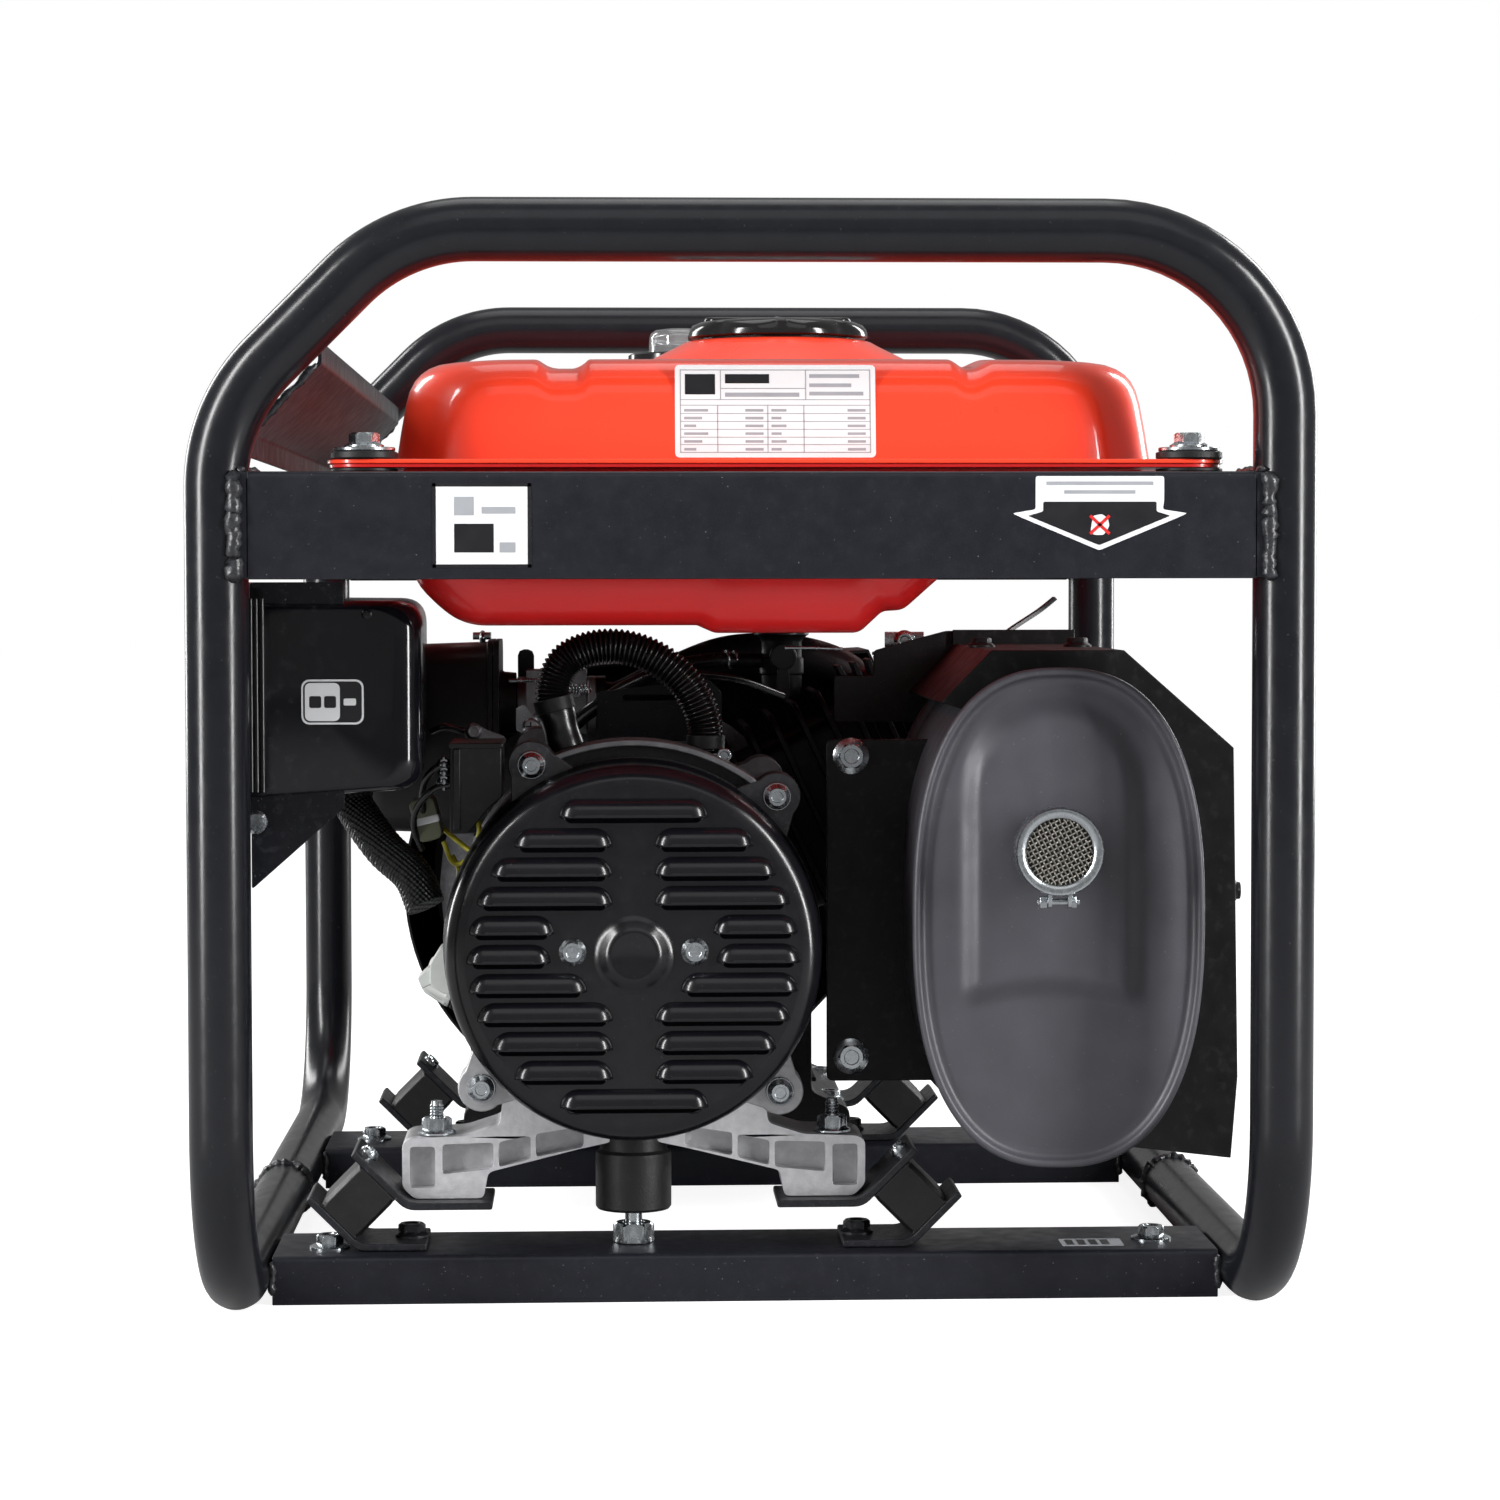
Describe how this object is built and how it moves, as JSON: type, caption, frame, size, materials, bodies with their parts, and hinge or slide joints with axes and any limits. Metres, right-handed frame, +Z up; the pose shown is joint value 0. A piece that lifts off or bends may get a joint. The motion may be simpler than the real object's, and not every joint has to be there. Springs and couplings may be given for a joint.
{
  "type": "portable generator",
  "caption": "Open tube-frame portable petrol generator with top fuel tank, louvred alternator, side muffler, recoil starter and a side control panel.",
  "frame": {"origin": "bottom centre of the whole object, on the surface it stands on", "axes": "+Z up, +Y along the crankshaft from the alternator end to the starter end, +X towards the muffler, -X towards the control panel"},
  "size_m": [0.445, 0.6, 0.449],
  "materials": {
    "black_paint": "gloss black powder coat",
    "satin_black": "satin black paint",
    "heat_paint": "dark grey heat-proof paint",
    "red_paint": "gloss orange-red enamel",
    "cast_aluminium": "as cast, fine grain",
    "engine_black": "black painted casting",
    "zinc": "bright zinc plate",
    "laminations": "varnished steel laminations",
    "black_plastic": "fine-grained black",
    "grey_plastic": "light grey",
    "red_plastic": "glossy red",
    "rubber": "matt black",
    "foam": "open-cell foam"
  },
  "bodies": {
    "frame": {"hoop_alternator_end": "black_paint", "hoop_starter_end": "black_paint", "upper_rail_alternator_end": "black_paint", "upper_rail_starter_end": "black_paint", "cross_rail_alternator_end": "black_paint", "cross_rail_starter_end": "black_paint", "inclined_panel": "black_paint", "tank_upper_shell": "red_paint", "tank_lower_shell": "red_paint", "fuel_gauge": "black_plastic", "fuel_valve": "black_plastic", "fuel_hose": "rubber", "alternator_end_cover": "satin_black", "alternator_end_bracket": "cast_aluminium", "stator": "laminations", "alternator_engine_bracket": "cast_aluminium", "voltage_regulator": "black_plastic", "crankcase": "engine_black", "cylinder": "engine_black", "valve_cover": "zinc", "fan_shroud": "engine_black", "recoil_housing": "black_plastic", "spark_plug": "zinc", "spark_plug_cap": "rubber", "carburetor": "zinc", "air_filter_base": "black_plastic", "air_filter_element": "foam", "muffler": "heat_paint", "spark_arrestor": "zinc", "heat_shield": "satin_black", "mount_alternator_left": "rubber", "mount_alternator_right": "rubber", "mount_engine_left": "rubber", "mount_engine_right": "rubber", "central_mount": "rubber", "control_box": "black_paint", "control_panel": "satin_black", "voltmeter": "black_plastic", "socket_pair": "black_plastic", "conduit": "rubber", "harness": "rubber"},
    "crank_train": {"crankshaft": "zinc", "rotor": "laminations", "flywheel": "cast_aluminium"},
    "starter_handle": {"starter_handle": "black_plastic"},
    "starter_pulley": {"starter_pulley": "grey_plastic"},
    "filler_gasket": {"fuel_cap_gasket": "rubber"},
    "fuel_cap": {"fuel_cap": "black_plastic"},
    "gauge_needle": {"fuel_gauge_needle": "red_plastic"},
    "fuel_valve_lever": {"fuel_valve_lever": "red_plastic"},
    "choke_lever": {"choke_lever": "black_plastic"},
    "throttle_arm": {"throttle_arm": "zinc"},
    "air_filter_cover": {"air_filter_cover": "black_plastic"},
    "oil_dipstick": {"oil_dipstick": "grey_plastic"},
    "socket_cover_outer": {"socket_cover_outer": "black_plastic"},
    "socket_cover_inner": {"socket_cover_inner": "black_plastic"},
    "engine_switch": {"engine_switch": "red_plastic"},
    "circuit_breaker": {"circuit_breaker": "black_plastic"},
    "dc_breaker_button": {"dc_breaker_button": "grey_plastic"},
    "ground_nut": {"ground_nut": "zinc"}
  },
  "joints": [
    {"name": "crank_spin", "type": "hinge", "parent": "frame", "child": "crank_train", "pos_m": [-0.047, 0, 0.1465], "axis": [0, 1, 0], "continuous": true},
    {"name": "starter_pull", "type": "slide", "parent": "frame", "child": "starter_handle", "axis": [0, 1, 0], "range_m": [0, 0.5], "stiffness_N_per_m": 15, "springref_m": -0.1},
    {"name": "pulley_spin", "type": "hinge", "parent": "frame", "child": "starter_pulley", "pos_m": [-0.047, 0.215, 0.1465], "axis": [0, 1, 0], "range_deg": [0, 960]},
    {"name": "cap_lift", "type": "slide", "parent": "frame", "child": "filler_gasket", "axis": [0, 0, 1], "range_m": [0, 0.06]},
    {"name": "cap_turn", "type": "hinge", "parent": "filler_gasket", "child": "fuel_cap", "pos_m": [0.0218, -0.03, 0.4094], "axis": [0, 0, 1], "range_deg": [0, 90]},
    {"name": "gauge_sweep", "type": "hinge", "parent": "frame", "child": "gauge_needle", "pos_m": [-0.021, 0.078, 0.4043], "axis": [0, 0, 1], "range_deg": [0, 100]},
    {"name": "fuel_valve_turn", "type": "hinge", "parent": "frame", "child": "fuel_valve_lever", "pos_m": [0.025, -0.0133, 0.264], "axis": [0, 1, 0], "range_deg": [0, 90]},
    {"name": "choke_turn", "type": "hinge", "parent": "frame", "child": "choke_lever", "pos_m": [-0.097, 0.0788, 0.24], "axis": [0, 1, 0], "range_deg": [0, 75]},
    {"name": "throttle_turn", "type": "hinge", "parent": "frame", "child": "throttle_arm", "pos_m": [-0.071, 0.0625, 0.2573], "axis": [0, 0, 1], "range_deg": [0, 50]},
    {"name": "filter_cover_off", "type": "slide", "parent": "frame", "child": "air_filter_cover", "axis": [-1, 0, 0], "range_m": [0, 0.09]},
    {"name": "dipstick_out", "type": "slide", "parent": "frame", "child": "oil_dipstick", "axis": [-0.9399, 0, 0.3415], "range_m": [0, 0.07]},
    {"name": "socket_cover_outer_lift", "type": "hinge", "parent": "frame", "child": "socket_cover_outer", "pos_m": [-0.2113, -0.212, 0.273], "axis": [0, 1, 0], "range_deg": [0, 95], "stiffness_Nm_per_rad": 0.02, "springref_deg": -17.19},
    {"name": "socket_cover_inner_lift", "type": "hinge", "parent": "frame", "child": "socket_cover_inner", "pos_m": [-0.2113, -0.154, 0.273], "axis": [0, 1, 0], "range_deg": [0, 95], "stiffness_Nm_per_rad": 0.02, "springref_deg": -17.19},
    {"name": "engine_switch_rock", "type": "hinge", "parent": "frame", "child": "engine_switch", "pos_m": [-0.201, -0.008, 0.268], "axis": [0, 1, 0], "range_deg": [0, 16]},
    {"name": "circuit_breaker_throw", "type": "hinge", "parent": "frame", "child": "circuit_breaker", "pos_m": [-0.2005, -0.1, 0.26], "axis": [0, -1, 0], "range_deg": [0, 40]},
    {"name": "dc_breaker_pop", "type": "slide", "parent": "frame", "child": "dc_breaker_button", "axis": [-1, 0, 0], "range_m": [0, 0.004]},
    {"name": "ground_nut_turn", "type": "hinge", "parent": "frame", "child": "ground_nut", "pos_m": [-0.2035, 0.018, 0.22], "axis": [-1, 0, 0], "range_deg": [0, 720]}
  ],
  "couplings": [
    {"joint": "pulley_spin", "follows": "starter_pull", "rad_per_m": 33.333}
  ]
}
